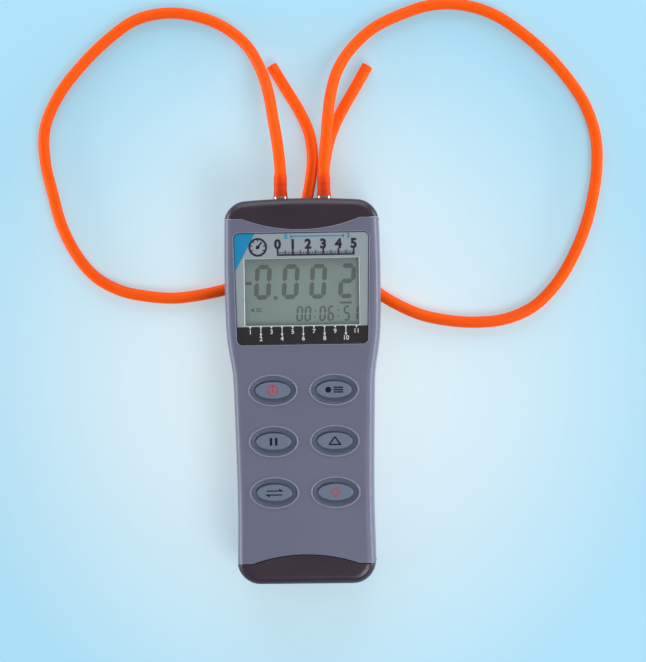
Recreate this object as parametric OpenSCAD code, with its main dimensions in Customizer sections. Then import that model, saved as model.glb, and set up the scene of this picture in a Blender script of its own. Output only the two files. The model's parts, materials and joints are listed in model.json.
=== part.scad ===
// Hand-held digital manometer with two pressure hoses, lying face up.
// The case is drawn level, its back on z = 0 and its tail end on y = 0.
// The module laid() then rests it on the hoses that run under its head.

/* [Case] */
// Width of the head, at the display
head_w = 72.8; // [71:0.2:78]
// Thickness of the two shells together
case_t = 29.5; // [29.2:0.1:33]
// Wall of the shells and the end caps
wall = 2.4; // [2.2:0.1:2.5]
// Radius of the four corners seen from the front
corner_r = 10.5; // [9.5:0.5:12]
// Rise of the curved head end over its corners
crown_rise = 0.9; // [0.5:0.1:1.4]
// Rounding of the front edge
front_round = 4; // [3.4:0.1:4.4]
// Rounding of the back edge
back_round = 3; // [2.7:0.1:3.4]
// Height of the seam between the shells over the back
seam_z = 15; // [14:0.1:16]

/* [End caps] */
// Height of the head cap at its sides
top_cap_h = 9.4; // [8.5:0.1:11]
// How far the head cap dips at its middle
top_cap_dip = 5.2; // [3:0.1:6]
// Width of that dip
top_cap_dip_w = 55; // [46:1:58]
// Height of the tail cap at its sides
tail_cap_h = 9.1; // [8.5:0.1:10.5]
// How far the tail cap rises at its middle
tail_cap_dip = 4.3; // [2.5:0.1:5]
// Width of that rise
tail_cap_dip_w = 50; // [40:1:54]
// How far the end caps stand proud of the shells
cap_proud = 0.25; // [0.15:0.05:0.4]

/* [Display] */
// Face of the head at each side of the printed sheet
sheet_side = 4.8; // [4.4:0.1:5.8]
// How much narrower the sheet's lower edge is
sheet_taper = 2.2; // [0:0.2:3]
// Length of the printed sheet
sheet_len = 52; // [49:0.5:53]
// Face of the head over the printed sheet
sheet_head = 16.1; // [15.6:0.1:17]
// Upper row of keys to the lower edge of the sheet
sheet_foot = 21.4; // [20.8:0.1:23]
// Thickness of the printed sheet
sheet_t = 0.45; // [0.3:0.05:0.6]
// Border at each side of the view, at the sheet's lower edge
view_side = 3.5; // [3.3:0.1:5]
// Length of the view
view_len = 31.7; // [29:0.1:32]
// Middle of the view below the middle of the sheet
view_drop = 1.55; // [1:0.05:2]

/* [Keys] */
// Length of a key across the case
key_w = 16.6; // [15:0.1:17]
// Length of a key along the case
key_h = 7.9; // [7:0.1:8.4]
// Length across the case of the dish round a key
dish_w = 22.4; // [21:0.1:23]
// Length along the case of the dish
dish_h = 14.2; // [13:0.1:15]
// Depth of the dish at the key
dish_depth = 1.4; // [1:0.1:1.5]
// Distance between the two columns of keys
key_pitch_x = 28.6; // [27.6:0.1:29.2]
// Distance between the three rows of keys
key_pitch_y = 23.9; // [23:0.1:24.4]
// Lowest row above the tail end
key_row_y = 42.7; // [41.5:0.1:43.5]
// Travel of a key
key_travel = 0.8; // [0.5:0.1:0.85]

/* [Ports and hoses] */
// Distance between the two ports
port_pitch = 20.6; // [20:0.2:24]
// Height of the ports over the back
port_z = 13.5; // [13:0.1:13.8]
// Outer diameter of a hose
hose_d = 5.5; // [5:0.1:6]
// Bore of a hose
hose_bore = 3.5; // [3:0.1:3.8]
// Depth of the bore at a hose's cut end
hose_bore_depth = 12; // [8:1:14]

/* [Battery bay] */
// Diameter of a cell
cell_d = 10.5; // [10:0.1:10.6]
// Length of a cell over its button
cell_len = 44.5; // [43:0.5:45]
// Space between the cells
cell_gap = 0.5; // [0.3:0.1:0.6]
// Lower end of the bay above the tail end
bay_y = 20; // [19:0.5:20.5]
// Thickness of the battery door
door_t = 1.8; // [1.4:0.1:1.9]

/* [Hidden] */

// Colours
slate = [0.43, 0.44, 0.51];
plum = [0.27, 0.22, 0.26];
sheet_grey = [0.60, 0.64, 0.66];
lcd_green = [0.47, 0.53, 0.49];
key_blue = [0.47, 0.54, 0.59];
hose_orange = [0.98, 0.35, 0.06];
nickel = [0.75, 0.74, 0.70];
board_green = [0.05, 0.35, 0.20];
ink = [0.12, 0.12, 0.13];
milk = [0.90, 0.92, 0.90];
silicone = [0.80, 0.80, 0.78];
steel = [0.62, 0.63, 0.65];

// Overruns and fits
over = 1;           // overrun of a cut past a face
bite = 0.5;         // how far fused pieces reach into each other
fit = 0.25;         // gap round a piece that is laid in a recess
seat = 0.3;         // gap between a moving piece and its stop
thin = 0.1;         // gap between flat faces that meet
peg_play = 0.05;    // radial play of a pivot peg in its socket

// Facets
fn_round = 64;
fn_small = 32;
arc_steps = 8;      // steps in each corner of the outline
round_steps = 5;    // steps in the rounding of the front and back edges
oval_n = 36;        // points round a key and its dish

// Case outline: the grip blends into the head by these shares.
// Each row gives a share of the length and a share of the head's extra width.
flare_shares = [
    [0.000, 0.09], [0.058, 0.09], [0.178, 0.00], [0.300, 0.04], [0.422, 0.15],
    [0.500, 0.22], [0.539, 0.28], [0.580, 0.50], [0.611, 0.70], [0.642, 0.85],
    [0.678, 0.93], [0.733, 0.98], [0.828, 1.00], [0.937, 0.93], [1.000, 0.90]
];
// Shares of the length at which the sides have points
side_shares = [
    0.10, 0.18, 0.27, 0.36, 0.45, 0.51, 0.545, 0.572, 0.60, 0.63, 0.665,
    0.71, 0.77, 0.83, 0.89
];
// Shares of the length past which only the end caps have points
head_from_share = 0.86;
tail_to_share = 0.14;
// Shares of the crown's half width at which it has points
crown_shares = [0.67, 0.33];
reveal = 0.35;      // depth of the groove along the seam
reveal_h = 0.5;     // height of each half of the groove

// The grip holds the row of cells between two screw posts
cells = 4;
bay_half = (cells * cell_d + (cells + 1) * cell_gap) / 2;
post_r = 3.2;
post_side = 0.75;                         // lower posts to the cells' room
grip_w = 2 * (bay_half + post_side + 2 * post_r + wall);

// Places along the case. Its length over the end caps follows from them.
upper_row_y = key_row_y + 2 * key_pitch_y;
sheet_y = upper_row_y + sheet_foot + sheet_len / 2;
view_y = sheet_y - view_drop;
case_len = sheet_y + sheet_len / 2 + sheet_head;

// Levels through the thickness
front_in = case_t - wall;                 // inner face of the front wall
board_drop = 8.6;                         // front wall to the board
board_t = 1.6;
board_top = front_in - board_drop;
board_z = board_top - board_t;

// Printed sheet, window and LCD
sheet_w = head_w - 2 * sheet_side;
view_w = sheet_w - sheet_taper - 2 * view_side;
sheet_r = 2.4;                            // corner radius of the sheet
recess = 0.6;                             // depth of the recess for the sheet
window_t = 0.95;
window_rim = 1.7;                         // how far the window passes the view
ledge_rim = 0.3;                          // opening in the ledge past the view
glass_t = 2.6;
glass_rim = 1.2;                          // how far the glass passes the view
glass_end = 2.3;                          // the same, at its two long edges
frame_wall = 1.8;
frame_lip = 0.3;
frame_lip_w = 1.0;
frame_top = front_in - seat;
glass_top = frame_top - frame_lip;
glass_z = glass_top - glass_t;
zebra_w = 2.2;
glass_w = view_w + 2 * glass_rim;
glass_len = view_len + 2 * glass_end;
frame_w = glass_w + 2 * frame_wall + 2 * fit;
frame_len = glass_len + 2 * frame_wall + 2 * fit;
board_head = view_y + frame_len / 2 + frame_wall;

// Keys
key_round = 0.7;                          // rounding of a key's top edge
key_steps = 3;
key_proud = 0.3;                          // key over the face of the case
key_slot = 0.3;                           // gap between key and case
flange_lip = 1.4;                         // flange past the key all round
flange_t = 1.3;
stem_inset = 1.7;                         // stem inside the key all round
guide_wall = 1.0;
guide_h = 3;
rim_w = 0.5;                              // raised rim round each dish
rim_h = 0.25;
mat_t = 1.2;
mat_edge = 3.2;                           // mat past the dishes
// Depth and width of the dish, as shares, from its rim to the key
dish_shares = [[0, 0], [0.45, 0.22], [0.80, 0.52], [1, 1]];
// Column and row of each key, as steps from the middle column and lowest row
column = key_pitch_x / 2;
function key_spot(side, row) = [side * column, key_row_y + row * key_pitch_y];
key_spots = [for (side = [-1, 1], row = [0, 1, 2]) key_spot(side, row)];

// Tabs that hold the end caps inside the shells
tab_w = 9;
tab_len = 5;
tab_t = 1.4;
tab_share = 0.29;                         // off the middle, of the head's width
tab_x = tab_share * head_w;

// Screws
post_gap = 0.7;                           // upper posts to the wall
post_clear = 1.45;                        // upper posts to the board's end
screw_r = 1.5;
screw_hole = 1.65;
screw_pilot = 1.3;
screw_head_r = 2.5;
screw_head_t = 1.9;
screw_sink = 5;                           // depth of the head's seat
screw_len = 15;
slot_w = 0.9;                             // drive cross
slot_len = 3;
slot_depth = 0.9;
tail_screw_y = 28;                        // lower pair above the tail end
head_screw_y = board_head + post_clear + post_r;
side_in = grip_w / 2 - wall;
tail_screw_x = side_in - post_r;
head_screw_x = head_w / 2 - wall - post_r - post_gap;
case_screw_spots = [
    [-tail_screw_x, tail_screw_y], [tail_screw_x, tail_screw_y],
    [-head_screw_x, head_screw_y], [head_screw_x, head_screw_y]
];

// Board
board_end = 16;                           // board above the tail end
board_lower_w = 2 * (tail_screw_x - post_r - bite);
board_gap = 3.4;                          // board to the wall in the head
board_upper_w = head_w - 2 * (wall + board_gap);
board_post_r = 2.4;
shoulder = upper_row_y + dish_h / 2 + 3 * board_post_r;
board_screw_r = 1.1;
board_hole = 1.25;
board_pilot = 0.95;
board_head_r = 1.9;
board_head_t = 1.3;
board_screw_len = 5;
board_screw_spots = [
    [0, key_row_y - key_pitch_y / 2], [0, key_row_y + 1.5 * key_pitch_y],
    [-(board_upper_w / 2 - 2 * board_post_r), shoulder],
    [board_upper_w / 2 - 2 * board_post_r, shoulder]
];

// Battery bay and door
plate_t = 0.4;
spring_len = 3.3;
bay_wall = 1.3;
bay_len = cell_len + spring_len + 2 * plate_t;
cell_z = wall + thin + cell_d / 2;
bay_top = cell_z + cell_d / 2 + cell_gap;
ledge = 0.7;                              // the bay's rim that stops the door
door_sink = 0.3;                          // door below the back face
door_half = bay_half + ledge - fit;
door_y0 = bay_y - ledge + fit;
door_y1 = bay_y + bay_len + ledge - fit;
hinge_y = door_y0 + door_t / 2;
hinge_z = door_sink + door_t / 2;
peg_r = 0.7;
peg_len = 1.5;
door_angle = 75;
grip_ribs = 5;
grip_pitch = 1.6;
grip_cut = 0.8;
grip_depth = 0.4;
grip_share = 0.5;                         // grooves as a share of the door
thumb_r = 9;                              // thumb scoop beside the door
thumb_depth = 1;

// Cells, contacts
button_r = 1.9;
button_h = 0.9;
plate_w = 8;
plate_h = 9;
coil_r = 3.8;                             // wide end of a contact spring
coil_tip_r = 2.4;
wire_r = 0.3;
coil_turns = 3;
coil_steps = 9;                           // rings in each turn
wire_sides = 6;

// Ports
collar_r = 3.6;
collar_t = 1.6;
shank_r = 3;
shank_play = 0.2;
pad_r = 5.8;                              // flat pad for the nut, in the cap
pad_t = 2.4;
nut_af = 9;                               // across its flats
nut_t = 2.4;
seal_r = 3.8;
seal_t = 0.5;
spot_r = 4.3;                             // flat seat cut in the cap
spot_depth = 0.4;
air_r = 1;                                // air way through a port
barb_root = 1.8;
barb_r = 2.1;
barb_pitch = 3;
barbs = 3;
barb_nose = 1.4;
barb_shares = [0.3, 0.4];                 // foot and crest of a barb in its pitch
nose_share = 0.7;                         // nose past the last barb's pitch
shank_past = 1.4;                         // shank past its nut
inner_root = 1.5;
inner_len = 8;
spot_y = case_len - spot_depth;
collar_y = spot_y + seal_t;
tube_y = collar_y + collar_t;             // hose end on the collar
port_tip_y = tube_y + (barbs + nose_share) * barb_pitch;
pad_y = case_len - wall - pad_t + bite;
nut_y = pad_y - nut_t;
shank_y = nut_y - shank_past;

// Inner hoses and sensor
inner_hose_r = 2.6;
inner_bore = 1.5;
inner_hose_len = 14;
sensor_w = 30;
sensor_len = 12;
sensor_t = 7.2;
sensor_gap = 1.6;
nozzle_gap = 2;                           // nozzle to port, inside the hose
sensor_nozzle = inner_hose_len + sensor_gap - inner_len - nozzle_gap;
sensor_y = shank_y - inner_hose_len - sensor_gap - sensor_len;

// Parts on the board. Each chip has its place on the free part, as shares
// across its half width and along from the bay to the sensor, and its
// width and length as shares of the chip size.
chip = 9;
chip_t = 1.3;
chip_shares = [
    [-0.5, 0.20, 1.1, 1.1], [0.2, 0.18, 0.7, 0.7], [0.6, 0.22, 0.5, 0.8],
    [-0.3, 0.48, 0.6, 0.4], [0.3, 0.52, 0.9, 0.5], [0.7, 0.62, 0.4, 0.4],
    [-0.6, 0.72, 0.5, 0.7], [0.0, 0.80, 0.8, 0.4]
];
free_y0 = bay_y + bay_len + bay_wall + over;
function chip_spot(s) = [
    s[0] * board_lower_w / 2, free_y0 + s[1] * (sensor_y - free_y0)
];
buzzer_r = 5;
buzzer_t = 3.5;
buzzer_spot = [board_upper_w / 2 - buzzer_r - bite, sensor_y - buzzer_r];

// Hoses
sleeve_len = 14;                          // stretched end on the port
sleeve_bulge = 0.55;
sleeve_wall = (hose_d - hose_bore) / 2;
sleeve_r = barb_r + sleeve_wall;
tube_sides = 8;
tube_r = hose_d / 2;
tube_corner = tube_r / cos(180 / tube_sides);
// Where the hoses carry the case, from the tail end
prop_reach = 136;
lean = asin(hose_d / prop_reach);

// Routes of the hoses, in mm on the floor, with the heights of the
// stretch that comes down from the port. The rest lies on the floor.
left_fall = [
    [-11.5, 111, 21], [-13.5, 123, 18.5], [-16, 136.5, 13.5], [-20, 149, 8.5],
    [-27, 161.5, 4.6], [-38, 171, 2.9]
];
left_run = [
    [-51, 176.5], [-65.5, 178.5], [-81, 175.5], [-95, 166], [-108, 153.5],
    [-119, 139.5], [-126, 123.5], [-126, 107], [-122.5, 91.5],
    [-118.5, 76.5], [-111.5, 62], [-102, 50.5], [-89.5, 43.5], [-76, 40.5],
    [-63, 39.5], [-50, 41], [-38, 43.5], [-27, 47.5], [-16.5, 53],
    [-8, 61.5], [-3, 72], [0.7, 84], [3.2, 96], [4.2, 107], [2.8, 118],
    [-1.5, 128.5]
];
left_end = [-15, 151.5];
right_fall = [
    [11.5, 111, 21], [12.5, 123, 18.5], [14, 136, 13.5], [17.5, 148.5, 8.5],
    [24.5, 159.5, 4.6], [35, 169, 2.9]
];
right_run = [
    [49, 175.5], [63.5, 179.5], [78.5, 179], [93, 174], [106, 165],
    [118, 154], [128, 142], [136, 129], [140.5, 114.5], [141, 100],
    [139, 86], [135, 71], [129, 57], [121, 44], [110, 33], [96.5, 27],
    [82.5, 25.5], [69, 26.5], [55.5, 29.5], [43.5, 35], [33.5, 41.5],
    [25, 49], [17.5, 58.5], [12.5, 70], [10, 81.5], [9.5, 93], [10.2, 104],
    [12.8, 115.5], [17.5, 126.5]
];
right_end = [31.5, 150.5];

// Smooth curve through the rows of flare_shares
flare_n = len(flare_shares);
function flare_row(s, i = 0) =
    i >= flare_n - 2 || s < flare_shares[i + 1].x ? i : flare_row(s, i + 1);
function flare_slope(i) =
    i == 0 || i == flare_n - 1 ? 0
    : (flare_shares[i + 1].y - flare_shares[i - 1].y)
        / (flare_shares[i + 1].x - flare_shares[i - 1].x);
function hermite(u, y0, y1, m0, m1) =
    y0 * (2 * u ^ 3 - 3 * u ^ 2 + 1) + m0 * (u ^ 3 - 2 * u ^ 2 + u)
    + y1 * (3 * u ^ 2 - 2 * u ^ 3) + m1 * (u ^ 3 - u ^ 2);
function flare(s) =
    let (i = flare_row(s), a = flare_shares[i], b = flare_shares[i + 1],
        d = b.x - a.x)
    hermite((s - a.x) / d, a.y, b.y, d * flare_slope(i), d * flare_slope(i + 1));
function half_w(y) = (grip_w + (head_w - grip_w) * flare(y / case_len)) / 2;

// Case outline seen from the front, anticlockwise from the tail's middle
tail_x = half_w(corner_r) - corner_r;
head_x = half_w(case_len - corner_r) - corner_r;
head_y = case_len - crown_rise - corner_r;
function crown_y(x) = case_len - crown_rise * (x / head_x) ^ 2;
right_side = concat(
    [[0, 0]],
    [for (k = [0 : arc_steps]) let (a = 90 * k / arc_steps - 90)
        [tail_x + corner_r * cos(a), corner_r + corner_r * sin(a)]],
    [for (s = side_shares) [half_w(s * case_len), s * case_len]],
    [for (k = [0 : arc_steps]) let (a = 90 * k / arc_steps)
        [head_x + corner_r * cos(a), head_y + corner_r * sin(a)]],
    [for (s = crown_shares) [s * head_x, crown_y(s * head_x)]],
    [[0, case_len]]
);
side_n = len(right_side);
outline = concat(
    right_side,
    [for (i = [side_n - 2 : -1 : 1]) [-right_side[i].x, right_side[i].y]]
);
out_n = len(outline);
function unit(v) = v / norm(v);
function outward(i) =
    let (d = outline[(i + 1) % out_n] - outline[(i + out_n - 1) % out_n])
    unit([d.y, -d.x]);
outwards = [for (i = [0 : out_n - 1]) outward(i)];
all_points = [for (i = [0 : out_n - 1]) i];
head_points = [for (i = all_points) if (outline[i].y > head_from_share * case_len) i];
tail_points = [for (i = all_points) if (outline[i].y < tail_to_share * case_len) i];
// The outline, or the part of it that is chosen, drawn in by inset at height z
function case_ring(inset, z, chosen) =
    [for (i = chosen)
        [outline[i].x - inset * outwards[i].x, outline[i].y - inset * outwards[i].y, z]];

// Insets and heights of the rounded edges of a surface grown by grow
function back_edge(grow) =
    [for (k = [0 : round_steps]) let (a = 90 * k / round_steps)
        [back_round - (back_round + grow) * sin(a),
            back_round - (back_round + grow) * cos(a)]];
function front_edge(grow) =
    [for (k = [round_steps : -1 : 0]) let (a = 90 * k / round_steps)
        [front_round - (front_round + grow) * sin(a),
            case_t - front_round + (front_round + grow) * cos(a)]];
cap_edges = concat(back_edge(cap_proud), front_edge(cap_proud));

// How the case rests: the tail's back edge on the floor, the head on the hoses
drop = min([for (e = cap_edges) e[0] * sin(lean) + e[1] * cos(lean)]);
tail_reach = min([for (e = cap_edges) e[0] * cos(lean) - e[1] * sin(lean)]);
tip_reach = port_tip_y * cos(lean) - (port_z - barb_nose) * sin(lean);
mid_y = (tail_reach + tip_reach) / 2;
function laid_point(p) = [
    p.x, p.y * cos(lean) - p.z * sin(lean) - mid_y,
    p.y * sin(lean) + p.z * cos(lean) - drop
];
module laid() translate([0, -mid_y, -drop]) rotate([lean, 0, 0]) children();

// A closed solid through rings of equally many points, lowest ring first.
// Where turn is given, point k of a ring mirrors point turn - k, and the flat
// ends are laid out in strips between such pairs.
module loft(rings, turn = 0) {
    n = len(rings[0]);
    m = len(rings);
    function strip(k) =
        let (a = k, b = k + 1, c = (turn - b) % n, d = (turn - a) % n)
        concat([a, b], c == b ? [] : [c], d == a ? [] : [d]);
    ends = turn == 0 ? [[for (k = [0 : n - 1]) k]]
        : [for (k = [0 : floor(turn / 2) - 1]) strip(k)];
    polyhedron(
        points = [for (r = rings) each r],
        faces = concat(
            ends,
            [for (i = [0 : m - 2], k = [0 : n - 1])
                [i * n + k, (i + 1) * n + k, (i + 1) * n + (k + 1) % n]],
            [for (i = [0 : m - 2], k = [0 : n - 1])
                [i * n + k, (i + 1) * n + (k + 1) % n, i * n + (k + 1) % n]],
            [for (e = ends) [for (k = [len(e) - 1 : -1 : 0]) (m - 1) * n + e[k]]]
        )
    );
}

module case_loft(edges, chosen = all_points)
    loft([for (e = edges) case_ring(e[0], e[1], chosen)],
        len(chosen) - (chosen[0] == 0 ? 0 : 1));

// Rings of a tube swept along points, up being square to the path
function heading(p, i) = unit(p[min(i + 1, len(p) - 1)] - p[max(i - 1, 0)]);
function tube_ring(p, t, up, r, sides) =
    let (s = unit(cross(t, up)), u = cross(s, t))
    [for (k = [0 : sides - 1]) let (a = -360 * (k + 0.5) / sides)
        p + r * (s * cos(a) + u * sin(a))];
module sweep(path, up, r, sides)
    loft([for (i = [0 : len(path) - 1])
        tube_ring(path[i], heading(path, i), up, r, sides)]);

// Everything of an end beyond a boundary with a round dip, for the head
module end_zone(edge, dip, dip_w) {
    half = dip_w / 2;
    r = (half ^ 2 + dip ^ 2) / (2 * dip);
    reach = head_w + wall;
    translate([-reach / 2, edge, -over])
        cube([reach, case_len, case_t + 2 * over]);
    intersection() {
        translate([0, edge - dip + r, -over])
            cylinder(r = r, h = case_t + 2 * over, $fn = fn_round);
        translate([-half, edge - dip - bite, -over])
            cube([dip_w, dip + 2 * bite, case_t + 2 * over]);
    }
}
module head_zone(gap = 0)
    end_zone(case_len - top_cap_h - gap, top_cap_dip, top_cap_dip_w);
module tail_zone(gap = 0)
    mirror([0, 1, 0]) end_zone(-tail_cap_h - gap, tail_cap_dip, tail_cap_dip_w);

// Ovals of half axes a and b: points at height z, and an upright prism
function oval_points(a, b, z) =
    [for (k = [0 : oval_n - 1]) let (t = 360 * k / oval_n) [a * cos(t), b * sin(t), z]];
module oval(a, b, h)
    linear_extrude(h) polygon([for (p = oval_points(a, b, 0)) [p.x, p.y]]);
module oval_ring(a, b, w, h) difference() {
    oval(a + w, b + w, h);
    translate([0, 0, -over]) oval(a, b, h + 2 * over);
}
module block(size, centre_xy, z)
    translate([centre_xy.x - size.x / 2, centre_xy.y - size.y / 2, z]) cube(size);
module post(r, z0, z1, at)
    translate([at.x, at.y, z0]) cylinder(r = r, h = z1 - z0, $fn = fn_small);
module along_y(y) translate([0, y, 0]) rotate([-90, 0, 0]) children();

// Outline of the printed sheet, grown by grow
function sheet_points(grow) =
    let (wide = sheet_w / 2 - sheet_r, narrow = wide - sheet_taper / 2,
        half = sheet_len / 2 - sheet_r,
        spots = [[narrow, -half, -90], [wide, half, 0], [-wide, half, 90],
            [-narrow, -half, 180]])
    [for (s = spots, k = [0 : arc_steps]) let (a = s[2] + 90 * k / arc_steps)
        [s.x + (sheet_r + grow) * cos(a), s.y + (sheet_r + grow) * sin(a)]];

// Shells
module key_cut(at) {
    rim = [dish_w / 2, dish_h / 2];
    hole = [key_w / 2 + key_slot, key_h / 2 + key_slot];
    levels = concat([[over, 0]], [for (s = dish_shares) [-s[0] * dish_depth, s[1]]],
        [[-wall - over, 1]]);
    translate([at.x, at.y, 0])
        loft([for (i = [len(levels) - 1 : -1 : 0])
            let (e = levels[i], size = rim + (hole - rim) * e[1])
            oval_points(size.x, size.y, case_t + e[0])]);
}

module key_guide(at)
    translate([at.x, at.y, front_in - guide_h])
        oval_ring(key_w / 2 + flange_lip + seat, key_h / 2 + flange_lip + seat,
            guide_wall, guide_h + bite);

module dish_rim(at)
    translate([at.x, at.y, case_t - bite])
        oval_ring(dish_w / 2, dish_h / 2, rim_w, rim_h + bite);

module front_case() color(slate) laid() difference() {
    union() {
        difference() {
            case_loft(concat([[reveal, seam_z], [0, seam_z + reveal_h]], front_edge(0)));
            case_loft(concat([[wall, seam_z - over]], front_edge(-wall)));
            head_zone(thin);
            tail_zone(thin);
        }
        for (at = case_screw_spots) post(post_r, seam_z + thin, front_in + bite, at);
        for (at = board_screw_spots) post(board_post_r, board_top, front_in + bite, at);
        for (at = key_spots) {
            key_guide(at);
            dish_rim(at);
        }
    }
    for (at = key_spots) key_cut(at);
    translate([0, sheet_y, case_t - recess])
        linear_extrude(recess + over) polygon(sheet_points(fit));
    block([view_w + 2 * window_rim + 2 * thin, view_len + 2 * window_rim + 2 * thin,
        recess + window_t + over], [0, view_y], case_t - recess - window_t);
    block([view_w + 2 * ledge_rim, view_len + 2 * ledge_rim, wall + over],
        [0, view_y], front_in - over);
    for (at = case_screw_spots)
        post(screw_pilot, seam_z - over, screw_sink + screw_len + over, at);
    for (at = board_screw_spots)
        post(board_pilot, board_top - over, board_z + board_screw_len + over, at);
}

module rear_case() color(slate) laid() difference() {
    union() {
        difference() {
            case_loft(concat(back_edge(0), [[0, seam_z - reveal_h], [reveal, seam_z]]));
            case_loft(concat(back_edge(-wall), [[wall, seam_z + over]]));
            head_zone(thin);
            tail_zone(thin);
        }
        for (at = case_screw_spots) post(post_r, wall - bite, seam_z, at);
        block([2 * (bay_half + bay_wall), bay_len + 2 * bay_wall,
            bay_top + bay_wall - wall + bite], [0, bay_y + bay_len / 2], wall - bite);
    }
    block([2 * bay_half, bay_len, bay_top + over], [0, bay_y + bay_len / 2], -over);
    block([2 * (bay_half + ledge), bay_len + 2 * ledge, wall + over],
        [0, bay_y + bay_len / 2], -over);
    translate([-door_half - fit - peg_len, hinge_y, hinge_z]) rotate([0, 90, 0])
        cylinder(r = peg_r + peg_play, h = 2 * (door_half + fit + peg_len),
            $fn = fn_small);
    for (at = case_screw_spots) {
        post(screw_hole, -over, seam_z + over, at);
        post(screw_head_r + fit, -over, screw_sink, at);
    }
    translate([0, door_y1 + fit, thumb_depth - thumb_r])
        sphere(r = thumb_r, $fn = fn_round);
}

// End caps
module tab(x, y, z, w, len) translate([x - w / 2, y, z]) cube([w, len, tab_t]);
module end_shell(chosen) difference() {
    case_loft(cap_edges, chosen);
    case_loft(concat(back_edge(-wall), front_edge(-wall)), chosen);
}
module cap_tabs(edge, way) for (side = [-1, 1]) {
    root = way > 0 ? edge : edge - tab_len;
    tongue = way > 0 ? edge - tab_len : edge - bite;
    tab(side * tab_x, root, front_in - tab_t + thin, tab_w, tab_len);
    tab(side * tab_x, tongue, front_in - tab_t - thin, tab_w, tab_len + bite);
    tab(side * tab_x, root, wall - thin, tab_w, tab_len);
    tab(side * tab_x, tongue, wall + thin, tab_w, tab_len + bite);
}

module top_end_cap() color(plum) laid() difference() {
    union() {
        intersection() {
            end_shell(head_points);
            head_zone();
        }
        for (side = [-1, 1]) translate([side * port_pitch / 2, 0, port_z])
            along_y(pad_y) cylinder(r = pad_r, h = pad_t, $fn = fn_round);
        cap_tabs(case_len - top_cap_h, 1);
    }
    for (side = [-1, 1]) translate([side * port_pitch / 2, 0, port_z]) {
        along_y(pad_y - over)
            cylinder(r = shank_r + shank_play, h = case_len, $fn = fn_round);
        along_y(spot_y) cylinder(r = spot_r, h = over + spot_depth, $fn = fn_round);
    }
}

module bottom_end_cap() color(plum) laid() {
    intersection() {
        end_shell(tail_points);
        tail_zone();
    }
    cap_tabs(tail_cap_h, -1);
}

// Display
module display_overlay() color(sheet_grey) laid() difference() {
    translate([0, sheet_y, case_t - recess])
        linear_extrude(sheet_t) polygon(sheet_points(0));
    block([view_w, view_len, sheet_t + 2 * over], [0, view_y], case_t - recess - over);
}

module display_window() color(milk, 0.4) laid()
    block([view_w + 2 * window_rim, view_len + 2 * window_rim, window_t - thin],
        [0, view_y], case_t - recess - window_t + thin);

module lcd_panel() color(lcd_green) laid()
    block([glass_w, glass_len, glass_t], [0, view_y], glass_z);

module lcd_frame() color(ink) laid() difference() {
    block([frame_w, frame_len, frame_top - board_top], [0, view_y], board_top);
    block([glass_w + 2 * fit, glass_len + 2 * fit, glass_top - board_top + over],
        [0, view_y], board_top - over);
    block([glass_w + 2 * fit - 2 * frame_lip_w, glass_len + 2 * fit - 2 * frame_lip_w,
        frame_top], [0, view_y], board_top);
}

module zebra_strips() color(ink) laid() for (side = [-1, 1])
    block([glass_w - 2 * zebra_w, zebra_w, glass_z - board_top],
        [0, view_y + side * (glass_len - zebra_w) / 2], board_top);

module backlight_panel() color(milk) laid()
    block([view_w, view_len - zebra_w, glass_z - board_top - thin],
        [0, view_y], board_top);

// Electronics
module main_board() color(board_green) laid() difference() {
    union() {
        block([board_lower_w, shoulder - board_end, board_t],
            [0, (shoulder + board_end) / 2], board_z);
        block([board_upper_w, board_head - shoulder + 2 * board_post_r, board_t],
            [0, (board_head + shoulder) / 2 - board_post_r], board_z);
    }
    for (at = board_screw_spots) post(board_hole, board_z - over, board_top + over, at);
}

module board_components() color(ink) laid() for (s = chip_shares)
    block([s[2] * chip, s[3] * chip, chip_t], chip_spot(s), board_z - chip_t);

module buzzer() color(ink) laid() difference() {
    post(buzzer_r, board_z - buzzer_t, board_z, buzzer_spot);
    post(air_r, board_z - buzzer_t - over, board_z - buzzer_t / 2, buzzer_spot);
}

module pressure_sensor() color(milk) laid() {
    block([sensor_w, sensor_len, sensor_t], [0, sensor_y + sensor_len / 2],
        board_z - sensor_t);
    for (side = [-1, 1]) translate([side * port_pitch / 2, 0, port_z])
        along_y(sensor_y + sensor_len - bite) difference() {
            cylinder(r = inner_root, h = sensor_nozzle + bite, $fn = fn_small);
            translate([0, 0, over])
                cylinder(r = air_r, h = sensor_nozzle + bite, $fn = fn_small);
        }
}

module sensor_hose(side) color(silicone) laid()
    translate([side * port_pitch / 2, 0, port_z])
        along_y(shank_y - inner_hose_len) difference() {
            cylinder(r = inner_hose_r, h = inner_hose_len, $fn = fn_small);
            translate([0, 0, -over])
                cylinder(r = inner_bore, h = inner_hose_len + 2 * over, $fn = fn_small);
        }
module left_sensor_hose() sensor_hose(-1);
module right_sensor_hose() sensor_hose(1);

module keypad_mat() color(silicone) laid() difference() {
    mat_len = 2 * key_pitch_y + dish_h + mat_edge;
    block([board_lower_w - 2 * bite, mat_len, mat_t],
        [0, key_row_y + key_pitch_y], board_top);
    for (at = key_spots) translate([at.x, at.y, board_top - over])
        oval(key_w / 2 - stem_inset + seat, key_h / 2 - stem_inset + seat,
            mat_t + 2 * over);
    for (at = board_screw_spots)
        post(board_post_r + fit, board_top - over, board_top + mat_t + over, at);
}

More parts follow.
